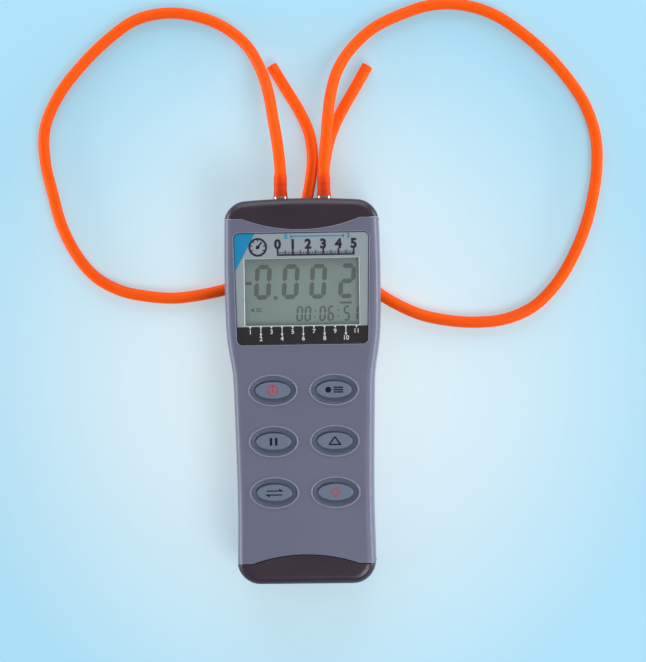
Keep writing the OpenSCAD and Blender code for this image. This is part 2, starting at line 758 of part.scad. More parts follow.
// Keys: a rounded oval cap, a flange under the wall and a stem to the board
module key_at(side, row) color(key_blue) laid() {
    at = key_spot(side, row);
    half = [key_w / 2, key_h / 2];
    top = case_t + key_proud;
    flange_z = front_in - seat - flange_t;
    stem_z = board_top + key_travel + thin;
    levels = concat([[0, flange_z + bite]],
        [for (k = [0 : key_steps]) let (a = 90 * k / key_steps)
            [key_round * (1 - cos(a)), top - key_round * (1 - sin(a))]]);
    translate([at.x, at.y, 0]) {
        loft([for (e = levels) oval_points(half.x - e[0], half.y - e[0], e[1])]);
        translate([0, 0, flange_z]) oval(half.x + flange_lip, half.y + flange_lip, flange_t);
        translate([0, 0, stem_z])
            oval(half.x - stem_inset, half.y - stem_inset, flange_z - stem_z + bite);
    }
}
module key_power() key_at(-1, 2);
module key_record() key_at(1, 2);
module key_hold() key_at(-1, 1);
module key_difference() key_at(1, 1);
module key_unit() key_at(-1, 0);
module key_light() key_at(1, 0);

// Ports: a collar on the cap, a shank through it and a barbed end each way
module port(side) color(nickel) laid()
    translate([side * port_pitch / 2, 0, port_z]) along_y(0)
        rotate_extrude($fn = fn_round) polygon(concat(
            [[air_r, shank_y - inner_len], [inner_root, shank_y - inner_len],
                [inner_root, shank_y], [shank_r, shank_y], [shank_r, collar_y],
                [collar_r, collar_y], [collar_r, tube_y]],
            [for (i = [0 : barbs - 1]) each [
                [barb_root, tube_y + (i + barb_shares[0]) * barb_pitch],
                [barb_r, tube_y + (i + barb_shares[1]) * barb_pitch]]],
            [[barb_nose, port_tip_y], [air_r, port_tip_y]]
        ));
module left_port() port(-1);
module right_port() port(1);

module port_nuts() color(nickel) laid() for (side = [-1, 1])
    translate([side * port_pitch / 2, 0, port_z]) along_y(nut_y) difference() {
        cylinder(d = nut_af / cos(30), h = nut_t, $fn = 6);
        translate([0, 0, -over])
            cylinder(r = shank_r + peg_play, h = nut_t + 2 * over, $fn = fn_round);
    }

module port_seals() color(ink) laid() for (side = [-1, 1])
    translate([side * port_pitch / 2, 0, port_z]) along_y(spot_y) difference() {
        cylinder(r = seal_r, h = seal_t, $fn = fn_round);
        translate([0, 0, -over])
            cylinder(r = shank_r + shank_play, h = seal_t + 2 * over, $fn = fn_round);
    }

// Battery bay
module battery_door() color(slate) laid() difference() {
    union() {
        block([2 * door_half, door_y1 - hinge_y, door_t],
            [0, (hinge_y + door_y1) / 2], door_sink);
        translate([-door_half, hinge_y, hinge_z]) rotate([0, 90, 0])
            cylinder(r = door_t / 2, h = 2 * door_half, $fn = fn_small);
        translate([-door_half - peg_len, hinge_y, hinge_z]) rotate([0, 90, 0])
            cylinder(r = peg_r, h = 2 * (door_half + peg_len), $fn = fn_small);
    }
    for (i = [1 : grip_ribs])
        block([door_half * 2 * grip_share, grip_cut, grip_depth + over],
            [0, door_y1 - (i + 1) * grip_pitch], door_sink - over);
}

// Cells lie side by side, and every second one is turned end for end
module battery_cells() color(steel) laid() for (i = [0 : cells - 1]) {
    x = -bay_half + cell_gap + cell_d / 2 + i * (cell_d + cell_gap);
    turned = i % 2 == 1;
    low = bay_y + plate_t + (turned ? button_h : spring_len);
    translate([x, 0, cell_z]) {
        along_y(low) cylinder(d = cell_d, h = cell_len - button_h, $fn = fn_small);
        along_y(turned ? low - button_h : low + cell_len - button_h)
            cylinder(r = button_r, h = button_h, $fn = fn_small);
    }
}

// Conical springs press on the flat ends of the cells
module battery_springs() color(nickel) laid() for (i = [0 : cells - 1]) {
    x = -bay_half + cell_gap + cell_d / 2 + i * (cell_d + cell_gap);
    turned = i % 2 == 1;
    foot = turned ? bay_y + bay_len - plate_t - wire_r : bay_y + plate_t + wire_r;
    way = turned ? -1 : 1;
    rise = spring_len - 2 * wire_r;
    steps = coil_turns * coil_steps;
    sweep([for (k = [0 : steps]) let (a = 360 * k / coil_steps, s = k / steps,
        r = coil_r + (coil_tip_r - coil_r) * s)
        [x + r * cos(a), foot + way * rise * s, cell_z + r * sin(a)]],
        [0, 1, 0], wire_r, wire_sides);
}

module battery_plates() color(nickel) laid() for (i = [0 : cells - 1]) {
    x = -bay_half + cell_gap + cell_d / 2 + i * (cell_d + cell_gap);
    for (y = [bay_y, bay_y + bay_len - plate_t])
        block([plate_w, plate_t, plate_h], [x, y + plate_t / 2], cell_z - plate_h / 2);
}

// Fasteners
module case_screws() color(steel) laid() for (at = case_screw_spots) difference() {
    union() {
        post(screw_head_r, screw_sink - screw_head_t, screw_sink, at);
        post(screw_r, screw_sink - bite, screw_sink + screw_len, at);
    }
    block([slot_len, slot_w, slot_depth + over], at, screw_sink - screw_head_t - over);
    block([slot_w, slot_len, slot_depth + over], at, screw_sink - screw_head_t - over);
}

module board_screws() color(steel) laid() for (at = board_screw_spots) {
    post(board_head_r, board_z - board_head_t, board_z, at);
    post(board_screw_r, board_z - bite, board_z + board_screw_len, at);
}

// Hoses
function flat_points(run) = [for (p = run) [p.x, p.y, tube_r]];
module hose(side, fall, run, end) color(hose_orange) {
    exit_x = side * port_pitch / 2;
    from_port = [for (y = [tube_y + hose_bore_depth + over, tube_y + sleeve_len])
        laid_point([exit_x, y, port_z])];
    back = unit(run[len(run) - 1] - end);
    laid() translate([exit_x, 0, port_z]) along_y(tube_y)
        rotate_extrude($fn = fn_round) polygon([
            [hose_bore / 2, 0], [sleeve_r + sleeve_bulge / 2, 0],
            [sleeve_r, barb_pitch], [sleeve_r, barb_pitch * barbs],
            [tube_r, hose_bore_depth], [tube_r, sleeve_len], [0, sleeve_len],
            [0, hose_bore_depth], [hose_bore / 2, hose_bore_depth]
        ]);
    difference() {
        sweep(concat(from_port, fall, flat_points(run),
            flat_points([end + back * (hose_bore_depth + over), end])),
            [0, 0, 1], tube_corner, tube_sides);
        translate([end.x, end.y, tube_r]) rotate([0, 90, atan2(back.y, back.x)])
            translate([0, 0, -over])
                cylinder(d = hose_bore, h = hose_bore_depth + over, $fn = fn_round);
    }
}
module left_tube() hose(-1, left_fall, left_run, left_end);
module right_tube() hose(1, right_fall, right_run, right_end);

front_case();
rear_case();
top_end_cap();
bottom_end_cap();
display_overlay();
display_window();
lcd_panel();
lcd_frame();
zebra_strips();
backlight_panel();
main_board();
board_components();
keypad_mat();
key_power();
key_record();
key_hold();
key_difference();
key_unit();
key_light();
pressure_sensor();
left_sensor_hose();
right_sensor_hose();
left_port();
right_port();
port_nuts();
port_seals();
battery_door();
battery_cells();
battery_springs();
battery_plates();
case_screws();
board_screws();
buzzer();
left_tube();
right_tube();
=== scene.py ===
"""Looks of a hand-held digital manometer with two hoses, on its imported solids."""

import json
import math

import bpy
from mathutils import Matrix, Vector


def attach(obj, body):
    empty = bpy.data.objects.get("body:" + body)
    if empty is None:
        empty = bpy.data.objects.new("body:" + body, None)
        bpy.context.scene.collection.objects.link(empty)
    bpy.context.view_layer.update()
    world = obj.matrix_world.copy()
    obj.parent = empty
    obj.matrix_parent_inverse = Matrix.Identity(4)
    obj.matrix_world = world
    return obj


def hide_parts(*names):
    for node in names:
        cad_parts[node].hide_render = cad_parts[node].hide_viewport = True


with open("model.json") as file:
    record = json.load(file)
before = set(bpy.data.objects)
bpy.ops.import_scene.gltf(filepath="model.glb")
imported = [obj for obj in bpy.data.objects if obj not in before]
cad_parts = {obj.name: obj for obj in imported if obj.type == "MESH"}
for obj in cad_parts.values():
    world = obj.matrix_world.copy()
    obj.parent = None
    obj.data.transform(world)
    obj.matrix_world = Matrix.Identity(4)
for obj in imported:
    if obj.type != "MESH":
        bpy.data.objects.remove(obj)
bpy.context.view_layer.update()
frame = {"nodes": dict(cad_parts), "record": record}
scene = bpy.context.scene
scene.view_settings.view_transform = "Standard"

# Sizes are in mm, as the solids have them
MM = 0.001

# Hoses and ports: the hose's outer and inner radius, the length of the barbs, the ports'
# middles in the case frame, and where the hoses start
HOSE_R, BORE_R, BARBS = 2.75, 1.75, 9.0
PORT_X, PORT_Z, TUBE_Y = 10.3, 13.5, 181.7

# The case frame has the back on z = 0 and the tail end on y = 0. The head is propped on the
# hoses PROP_REACH from the tail, and CASE_AT is where that leaves the case frame, in metres.
PROP_REACH = 136
LEAN = math.asin(2 * HOSE_R / PROP_REACH)
CASE_AT = (0, -0.0954359, 0.000128472)
LAID = Matrix.Translation(CASE_AT) @ Matrix.Rotation(LEAN, 4, "X")

# Case: its thickness and length, and the radius of the edges of its face
CASE_T, CASE_LEN, FRONT_R = 29.5, 180.0, 4.0

# Printed sheet: its middle and top, half its width at the head, how much narrower each side
# is at the tail, half its length, and its corners
SHEET_Y, SHEET_TOP = 137.9, CASE_T - 0.15
SHEET_HALF, SHEET_TAPER, SHEET_REACH, SHEET_R = 31.6, 1.1, 26.0, 2.4

# The view through the sheet from left to right and from tail to head, and what is under it
VIEW = (-27.0, 27.0, 120.5, 152.2)
WINDOW_TOP, LCD_TOP = 28.9, 26.5

# Keys: the columns' distance from the middle, the lowest row and the step to the next, the
# top of the keys, the half axes of a dish and of a key, and the gap round a key
COLUMN, ROW, PITCH = 14.3, 42.7, 23.9
KEY_TOP = CASE_T + 0.3
DISH, KEY, KEY_SLOT = (11.2, 7.1), (8.3, 3.95), 0.3

# Thickness of the ink on the sheet and the keys, and of the display's segments
INK_T, SEGMENT_T = 0.03, 0.02


def laid(x, y, z):
    """A place of the case frame, in the object's frame and in metres."""
    return LAID @ Vector((x * MM, y * MM, z * MM))


# Camera
SENSOR = 36
EYE, AIM = (0.05156, -0.01545, 0.950), (0.00926, 0.02143, 0.0275)
ROLL, VIEW_WIDTH, VIEW_DISTANCE = math.radians(0.818), 0.303175, 0.9242


def look(eye, target, roll, width, distance):
    """The view is as wide as width at the distance."""
    cam = bpy.data.objects.new("camera", bpy.data.cameras.new("camera"))
    scene.collection.objects.link(cam)
    cam.data.sensor_fit = "HORIZONTAL"
    cam.data.sensor_width = SENSOR
    cam.data.lens = SENSOR * distance / width
    back = (Vector(eye) - Vector(target)).normalized()
    right = Vector((math.sin(roll), math.cos(roll), 0)).cross(back).normalized()
    cam.matrix_world = (Matrix.Translation(eye)
                        @ Matrix((right, back.cross(right), back)).transposed().to_4x4())
    scene.camera = cam


look(EYE, AIM, ROLL, VIEW_WIDTH, VIEW_DISTANCE)


# Materials. Noise lies mostly within NOISE_SPREAD. The edge mask goes from 0 to 1 as the
# rounded normal leaves the flat one, and the lighter edge colour, a painted highlight, shows by
# the share below at most.
NOISE_SPREAD = (0.3, 0.7)
EDGE_SAMPLES, EDGE_MASK = 6, (0.995, 0.8)
EDGE_HIGHLIGHT_SHARE = 0.6


def linear(r, g, b):
    """Numbers of a colour from 0 to 255, as the shaders have them."""
    return [((c / 255 + 0.055) / 1.055) ** 2.4 if c > 10 else c / 255 / 12.92 for c in (r, g, b)]


class Paint:
    """The node tree of one material, built up from the colour to the bumps."""

    def __init__(self, name, rough):
        self.made = bpy.data.materials.new(name)
        self.made.use_nodes = True
        self.tree = self.made.node_tree
        self.shader = self.tree.nodes["Principled BSDF"]
        self.rough = rough
        self.where = self.tree.nodes.new("ShaderNodeTexCoord").outputs["Object"]
        self.normal = None

    def node(self, kind, **inputs):
        """A node with inputs set by name, _ standing for a space."""
        n = self.tree.nodes.new(kind)
        for key, value in inputs.items():
            n.inputs[key.replace("_", " ")].default_value = value
        return n

    def link(self, out, into):
        self.tree.links.new(out, into)

    def noise(self, size, detail=2.0, where=None):
        """Noise with spots of about size mm."""
        n = self.node("ShaderNodeTexNoise", Scale=1 / (size * MM), Detail=detail)
        self.link(where or self.where, n.inputs["Vector"])
        return n.outputs["Fac"]

    def ramp(self, value, low, high, to_low=0.0, to_high=1.0):
        """Goes from to_low to to_high while the value goes from low to high."""
        n = self.node("ShaderNodeMapRange", From_Min=low, From_Max=high, To_Min=to_low,
                      To_Max=to_high)
        self.link(value, n.inputs["Value"])
        return n.outputs["Result"]

    def combine(self, operation, *terms, kind="ShaderNodeMath"):
        """The result of one operation on other nodes' outputs."""
        n = self.tree.nodes.new(kind)
        n.operation = operation
        for term, into in zip(terms, n.inputs):
            self.link(term, into)
        return n.outputs["Value"]

    def mix(self, share, a, b):
        """A mix of two colours, each a list of three numbers or another node's output."""
        n = self.tree.nodes.new("ShaderNodeMix")
        n.data_type = "RGBA"
        self.link(share, n.inputs[0])
        for value, into in ((a, n.inputs[6]), (b, n.inputs[7])):
            if isinstance(value, (list, tuple)):
                into.default_value = (*value, 1)
            else:
                self.link(value, into)
        return n.outputs[2]

    def bump(self, height, depth):
        """Bumps of depth micrometres."""
        n = self.node("ShaderNodeBump", Strength=1.0, Distance=depth * 1e-6)
        self.link(height, n.inputs["Height"])
        if self.normal:
            self.link(self.normal, n.inputs["Normal"])
        self.normal = n.outputs["Normal"]

    def edges(self, radius):
        """Rounds the sharp edges in the shading, and gives a mask of them."""
        n = self.node("ShaderNodeBevel", Radius=radius * MM)
        n.samples = EDGE_SAMPLES
        self.normal = n.outputs["Normal"]
        plain = self.tree.nodes.new("ShaderNodeNewGeometry").outputs["Normal"]
        turn = self.combine("DOT_PRODUCT", self.normal, plain, kind="ShaderNodeVectorMath")
        return self.ramp(turn, *EDGE_MASK)

    def finish(self, colour, drift, spread, **constants):
        """The material, its roughness drifting by spread, with constants on the shader."""
        self.link(colour, self.shader.inputs["Base Color"])
        low, high = max(0.02, self.rough - spread), min(1, self.rough + spread)
        self.link(self.ramp(drift, *NOISE_SPREAD, low, high), self.shader.inputs["Roughness"])
        if self.normal:
            self.link(self.normal, self.shader.inputs["Normal"])
        for key, value in constants.items():
            self.shader.inputs[key.replace("_", " ")].default_value = value
        return self.made


def shades(colour, tint):
    """A darker and a lighter shade of the colour."""
    return [[min(1, c * (1 + side * tint)) for c in colour] for side in (-1, 1)]


def material(name, colour, rough, tint=0.05, tint_size=12.0, grain=0.0, grain_size=0.3,
             spread=0.05, edge=0.0, edge_highlight=None, **constants):
    """A moulded, plated or printed surface. Its colour and roughness drift a little over
    tint_size mm, its grain is given in micrometres, and its edges are round by edge mm and
    painted lighter there in the colour given, a painted highlight."""
    p = Paint(name, rough)
    drift = p.noise(tint_size, 3.0)
    out = p.mix(drift, *shades(colour, tint))
    if edge:
        mask = p.edges(edge)
        if edge_highlight:
            out = p.mix(p.ramp(mask, 0, 1, 0, EDGE_HIGHLIGHT_SHARE), out, edge_highlight)
    if grain:
        p.bump(p.noise(grain_size), grain)
    return p.finish(out, drift, spread, **constants)


# The hose: its roughness, and in mm the size of the spots of its drift, streaks and grain
HOSE_ROUGH, HOSE_DRIFT, HOSE_STREAKS, HOSE_GRAIN = 0.46, 14.0, 1.1, 0.5
ORANGE, STREAK_ORANGE, BARB_RED = linear(255, 84, 0), linear(255, 118, 30), linear(214, 44, 16)
STREAK_RANGE, STREAK_SHARE = (0.35, 0.75), 0.22


def hose_material():
    """Extruded tubing: fine lines along it, and it looks redder where it is stretched over
    the barbs of its port, whose edges press against it."""
    p = Paint("hose_rubber", HOSE_ROUGH)
    along = p.tree.nodes.new("ShaderNodeAttribute")
    along.attribute_name = "wrap"
    over = p.tree.nodes.new("ShaderNodeAttribute")
    over.attribute_name = "over_barbs"
    drift = p.noise(HOSE_DRIFT, 3.0)
    streaks = p.noise(HOSE_STREAKS, 4.0, along.outputs["Vector"])
    out = p.mix(drift, *shades(ORANGE, 0.05))
    out = p.mix(p.ramp(streaks, *STREAK_RANGE, 0, STREAK_SHARE), out, STREAK_ORANGE)
    out = p.mix(over.outputs["Fac"], out, BARB_RED)
    p.bump(streaks, 14)
    p.bump(p.noise(HOSE_GRAIN), 5)
    return p.finish(out, drift, 0.05, Specular_IOR_Level=0.12, Subsurface_Weight=0.08,
                    Subsurface_Scale=0.0012, Subsurface_Radius=(1.0, 0.35, 0.1))


# Each has its colour and roughness, then its tint and grain, each with the size of its spots
# A lighter edge colour given to a plastic or to the keys is a painted highlight along its edges.
MATS = {
    "case_plastic": material("case_plastic", linear(101, 103, 124), 0.38, 0.04, 25, 9, 0.35,
                             edge=0.3, edge_highlight=linear(146, 147, 166)),
    "door_plastic": material("door_plastic", linear(94, 95, 116), 0.42, 0.04, 25, 9, 0.35,
                             edge=0.3, edge_highlight=linear(132, 133, 150)),
    "cap_plastic": material("cap_plastic", linear(46, 33, 45), 0.34, 0.08, 20, 8, 0.3, edge=0.3,
                            edge_highlight=linear(86, 76, 86)),
    "printed_sheet": material("printed_sheet", linear(142, 153, 159), 0.36, 0.03, 30, 2, 0.2,
                              edge=0.15),
    "clear_window": material("clear_window", linear(210, 220, 216), 0.06, 0.02, 30, spread=0.02,
                             Alpha=0.05),
    "lcd": material("lcd", linear(113, 133, 128), 0.32, 0.02, 40, 1, 0.2),
    "black_plastic": material("black_plastic", linear(30, 30, 32), 0.5, 0.1, 8, 6, edge=0.2),
    "black_rubber": material("black_rubber", linear(26, 26, 26), 0.7, 0.1, 3, 10, 0.15),
    "diffuser": material("diffuser", linear(228, 232, 226), 0.5, 0.02, 20),
    "board": material("board", linear(18, 88, 52), 0.35, 0.12, 4, 12, 0.8),
    "chips": material("chips", linear(34, 34, 36), 0.55, 0.1, 2, 6, 0.15, edge=0.1),
    "key_rubber": material("key_rubber", linear(98, 110, 129), 0.50, 0.04, 6, 6, 0.25, edge=0.25,
                           edge_highlight=linear(128, 144, 154)),
    "silicone": material("silicone", linear(205, 205, 198), 0.45, 0.04, 6, 6, 0.3,
                         Subsurface_Weight=0.3, Subsurface_Scale=0.002),
    "plated_metal": material("plated_metal", linear(168, 160, 142), 0.22, 0.08, 1.5, 3, 0.2,
                             spread=0.08, edge=0.12, Metallic=1.0),
    "steel": material("steel", linear(178, 180, 184), 0.32, 0.1, 1.5, 4, 0.2, spread=0.1,
                      edge=0.12, Metallic=1.0),
    "cell_can": material("cell_can", linear(176, 178, 182), 0.34, 0.06, 6, 3, 0.2, edge=0.3,
                         Metallic=0.9),
    "hose_rubber": hose_material(),
}
# Inks, and colours of painted light and shade: the rims and the lip are lighter as painted
# highlights, the view's bevel light grey as a painted highlight, the dish skins darker as painted
# shade, the line along the sheet's edge dark as painted shade, and the groove line dark as
# painted shadow.
INK_AND_PAINTED_LIGHT = {
    "blue": material("ink_blue", linear(0, 128, 176), 0.36, 0.04, 4, 2, 0.2),
    "black": material("ink_black", linear(28, 24, 30), 0.36, 0.05, 6, 2, 0.2),
    "title": material("ink_title", linear(24, 24, 32), 0.4, 0.05, 4),
    "white": material("ink_white", linear(208, 210, 212), 0.4, 0.03, 4),
    "navy": material("ink_navy", linear(8, 14, 46), 0.45, 0.08, 2, Specular_IOR_Level=0.2),
    "red": material("ink_red", linear(190, 50, 62), 0.45, 0.06, 2, Specular_IOR_Level=0.2),
    "lcd_dark": material("lcd_dark", linear(58, 70, 67), 0.4, 0.03, 6),
    "line": material("sheet_edge_painted_shade", linear(78, 78, 92), 0.4, 0.03, 6),
    "rim": material("rim_painted_highlight", linear(132, 134, 154), 0.34, 0.04, 8),
    "dish": material("dish_painted_shade", linear(94, 102, 120), 0.45, 0.03, 8, 4, 0.35,
                     Specular_IOR_Level=0.25),
    "groove": material("shadow_groove", linear(14, 11, 20), 0.7, 0.05, 6, Specular_IOR_Level=0.1),
    "lip": material("lip_painted_highlight", linear(166, 166, 184), 0.34, 0.04, 8),
    "bevel": material("window_bevel_highlight", linear(196, 204, 208), 0.3, 0.03, 8),
}


# Carried-over solids. Edges that turn by more than a crease's degrees stay crisp, on the
# solids and on the smooth pieces made here, and points within WELD metres are one.
SOLID_CREASE, PIECE_CREASE = 32, 50
WELD = 1e-6


def split_edges(obj, angle, marked=True):
    """Keeps the edges crisp that turn by more than angle, and those marked sharp if marked."""
    split = obj.modifiers.new("edges", "EDGE_SPLIT")
    split.split_angle = math.radians(angle)
    split.use_edge_sharp = marked


def soften(obj):
    """Shades the facets of a lofted solid as the smooth surface that they stand for."""
    mesh = obj.data
    for name in ("custom_normal", "sharp_face"):
        if mesh.attributes.get(name):
            mesh.attributes.remove(mesh.attributes[name])
    mesh.polygons.foreach_set("use_smooth", [True] * len(mesh.polygons))
    weld = obj.modifiers.new("weld", "WELD")
    weld.merge_threshold = WELD
    split_edges(obj, SOLID_CREASE, marked=False)
    even = obj.modifiers.new("normals", "WEIGHTED_NORMAL")
    even.keep_sharp = True


slots = {s["node"]: s["material_slot"] for s in frame["record"]["subparts"]}
for name, obj in frame["nodes"].items():
    obj.data.materials.clear()
    obj.data.materials.append(MATS[slots[name]])
    soften(obj)


# Pieces
CAP_SHARE = 0.73
BEAD_SIDES = 8


def piece(name, points, faces, mat, body="meter", smooth=False):
    """A mesh with its points in the object's frame, in metres, that rides on the body."""
    mesh = bpy.data.meshes.new(name)
    mesh.from_pydata([tuple(p) for p in points], [], faces)
    mesh.validate()
    mesh.polygons.foreach_set("use_smooth", [smooth] * len(mesh.polygons))
    mesh.materials.append(mat)
    obj = bpy.data.objects.new(name, mesh)
    scene.collection.objects.link(obj)
    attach(obj, body)
    return obj


def slab(shape, z, t):
    """A closed slab of thickness t over a flat outline."""
    area = sum(shape[i - 1][0] * shape[i][1] - shape[i][0] * shape[i - 1][1]
               for i in range(len(shape)))
    shape = shape if area > 0 else shape[::-1]
    n = len(shape)
    points = [laid(x, y, z + t) for x, y in shape] + [laid(x, y, z) for x, y in shape]
    walls = [[n + k, n + (k + 1) % n, (k + 1) % n, k] for k in range(n)]
    return points, [list(range(n))] + walls + [list(range(2 * n - 1, n - 1, -1))]


def number(text, x, y, height, weight, z, t):
    """Numerals of the built-in font as closed slabs, x being their middle. CAP_SHARE is the
    share of the font's size that a numeral is high."""
    curve = bpy.data.curves.new("number", "FONT")
    curve.body = text
    curve.align_x = "CENTER"
    curve.size = height / CAP_SHARE
    curve.offset = weight
    curve.extrude = t / 2
    curve.resolution_u = 4
    holder = bpy.data.objects.new("number", curve)
    scene.collection.objects.link(holder)
    bpy.context.view_layer.update()
    ready = holder.evaluated_get(bpy.context.evaluated_depsgraph_get())
    mesh = bpy.data.meshes.new_from_object(ready)
    points = [laid(x + v.co.x, y + v.co.y, z + t / 2 + v.co.z) for v in mesh.vertices]
    faces = [list(f.vertices) for f in mesh.polygons]
    bpy.data.objects.remove(holder)
    bpy.data.curves.remove(curve)
    bpy.data.meshes.remove(mesh)
    return points, faces


def printed(name, shapes, z, mat, numbers=(), body="meter", t=INK_T):
    """Ink, or a line of painted shade, of thickness t: flat outlines, and numbers as (text, x, y,
    height, weight).
    """
    points, faces = [], []
    for part in [slab(s, z, t) for s in shapes] + [number(*n, z, t) for n in numbers]:
        base = len(points)
        points += part[0]
        faces += [[base + k for k in f] for f in part[1]]
    return piece(name, points, faces, mat, body)


def box2(x0, x1, y0, y1):
    """The corners of an upright box."""
    return [(x0, y0), (x1, y0), (x1, y1), (x0, y1)]


def circle(cx, cy, r, a0=0.0, a1=360.0, n=36):
    """Points on an arc, angles in degrees, with both ends where it isn't whole."""
    whole = a1 - a0 == 360
    return [(cx + r * math.cos(math.radians(a0 + (a1 - a0) * k / n)),
             cy + r * math.sin(math.radians(a0 + (a1 - a0) * k / n)))
            for k in range(n + (not whole))]


def ring(cx, cy, r, w, a0=0.0, a1=360.0, n=36):
    """Quads along an arc of radius r and width w."""
    step = (a1 - a0) / n
    inner, outer = r - w / 2, r + w / 2
    starts = [a0 + k * step for k in range(n)]
    return [circle(cx, cy, inner, a, a + step, 1) + circle(cx, cy, outer, a, a + step, 1)[::-1]
            for a in starts]


def stroke(x0, y0, x1, y1, w):
    """The outline of a straight line of width w."""
    d = Vector((x1 - x0, y1 - y0)).normalized() * (w / 2)
    return [(x0 + d.y, y0 - d.x), (x1 + d.y, y1 - d.x), (x1 - d.y, y1 + d.x),
            (x0 - d.y, y0 + d.x)]


def ray(cx, cy, angle, r0, r1, w):
    """A stroke that points away from cx, cy, from r0 to r1."""
    c, s = math.cos(math.radians(angle)), math.sin(math.radians(angle))
    return stroke(cx + r0 * c, cy + r0 * s, cx + r1 * c, cy + r1 * s, w)


def bead(name, path, z, r, mat, body="meter", closed=True):
    """A round bead along a path, anticlockwise where it is closed. A point's third number is
    how far it is above z."""
    way = [Vector((p[0], p[1], z + (p[2] if len(p) > 2 else 0))) for p in path]
    n, m = len(way), BEAD_SIDES
    points, faces = [], []
    for k, p in enumerate(way):
        if closed:
            along = way[(k + 1) % n] - way[k - 1]
        else:
            along = way[min(k + 1, n - 1)] - way[max(k - 1, 0)]
        out = along.cross(Vector((0, 0, 1))).normalized()
        up = out.cross(along).normalized()
        for q in range(m):
            turn = 2 * math.pi * q / m
            points.append(laid(*(p + (out * math.cos(turn) + up * math.sin(turn)) * r)))
            here, there, after = k * m, (k + 1) % n * m, (q + 1) % m
            if closed or k < n - 1:
                faces.append([here + q, there + q, there + after, here + after])
    if not closed:
        faces += [list(range(m)), list(range(n * m - 1, n * m - 1 - m, -1))]
    return piece(name, points, faces, mat, body, smooth=True)


def oval(cx, cy, rx, ry, n=72):
    """Points on an ellipse with the half axes rx and ry."""
    return [(cx + rx * math.cos(2 * math.pi * k / n), cy + ry * math.sin(2 * math.pi * k / n))
            for k in range(n)]


# Hoses, with their routes as the solids have them
ROUTES = {
    "left": dict(
        side=-1,
        fall=[(-11.5, 111, 21), (-13.5, 123, 18.5), (-16, 136.5, 13.5), (-20, 149, 8.5),
              (-27, 161.5, 4.6), (-38, 171, 2.9)],
        run=[(-51, 176.5), (-65.5, 178.5), (-81, 175.5), (-95, 166), (-108, 153.5),
             (-119, 139.5), (-126, 123.5), (-126, 107), (-122.5, 91.5), (-118.5, 76.5),
             (-111.5, 62), (-102, 50.5), (-89.5, 43.5), (-76, 40.5), (-63, 39.5), (-50, 41),
             (-38, 43.5), (-27, 47.5), (-16.5, 53), (-8, 61.5), (-3, 72), (0.7, 84),
             (3.2, 96), (4.2, 107), (2.8, 118), (-1.5, 128.5)],
        end=(-15, 151.5)),
    "right": dict(
        side=1,
        fall=[(11.5, 111, 21), (12.5, 123, 18.5), (14, 136, 13.5), (17.5, 148.5, 8.5),
              (24.5, 159.5, 4.6), (35, 169, 2.9)],
        run=[(49, 175.5), (63.5, 179.5), (78.5, 179), (93, 174), (106, 165), (118, 154),
             (128, 142), (136, 129), (140.5, 114.5), (141, 100), (139, 86), (135, 71),
             (129, 57), (121, 44), (110, 33), (96.5, 27), (82.5, 25.5), (69, 26.5),
             (55.5, 29.5), (43.5, 35), (33.5, 41.5), (25, 49), (17.5, 58.5), (12.5, 70),
             (10, 81.5), (9.5, 93), (10.2, 104), (12.8, 115.5), (17.5, 126.5)],
        end=(31.5, 150.5)),
}
# The outer radius s mm from the port, where the hose is stretched over the barbs
STRETCH = [(0, HOSE_R + 0.50), (0.6, HOSE_R + 0.62), (3, HOSE_R + 0.35), (BARBS, HOSE_R + 0.35),
           (12.5, HOSE_R)]
# Where the points of the straight stretch on the port are, and how long the straight end is
STRAIGHT, END_STRAIGHT = (0, 7, 14), 13
# Pieces between two points of a route, and sides of the hose
STEPS, HOSE_SIDES = 6, 24
# How much the barbs show, the step from one to the next, and where past them it fades away
BARB_SHOWS, BARB_STEP, BARB_FADE = 0.45, 3, 3
# How much longer than wide the streaks along the hose are
STREAK = 14


def curve_through(points, steps):
    """A smooth line through the points, with steps pieces between each two."""
    p = [points[0] * 2 - points[1]] + points + [points[-1] * 2 - points[-2]]
    out = []
    for i in range(1, len(p) - 2):
        a, b, c, d = p[i - 1:i + 3]
        for k in range(steps):
            u = k / steps
            out.append(0.5 * ((2 * b) + (c - a) * u + (2 * a - 5 * b + 4 * c - d) * u * u
                              + (3 * b - a - 3 * c + d) * u ** 3))
    return out + [points[-1]]


def outer_radius(s):
    """The hose's outer radius s mm from the port."""
    for (s0, r0), (s1, r1) in zip(STRETCH, STRETCH[1:]):
        if s < s1:
            u = (s - s0) / (s1 - s0)
            return r0 + (r1 - r0) * u * u * (3 - 2 * u)
    return HOSE_R


def redness(s):
    """How much the barbs show s mm from the port: all along them, and more at their edges."""
    if s > BARBS:
        return max(0.0, BARB_SHOWS * (1 - (s - BARBS) / BARB_FADE))
    return BARB_SHOWS + BARB_SHOWS * (s % BARB_STEP / BARB_STEP) ** 4


def tube_faces(n, sides):
    """Faces of a closed hollow tube whose n rings have their outer points, then the inner."""
    faces = []
    for i in range(n - 1):
        for k in range(sides):
            j = (k + 1) % sides
            a, b = 2 * sides * i, 2 * sides * (i + 1)
            faces.append([a + k, a + j, b + j, b + k])
            a, b = a + sides, b + sides
            faces.append([a + k, b + k, b + j, a + j])
    for i, flip in ((0, False), (n - 1, True)):
        a = 2 * sides * i
        for k in range(sides):
            j = (k + 1) % sides
            q = [a + k, a + sides + k, a + sides + j, a + j]
            faces.append(q[::-1] if flip else q)
    return faces


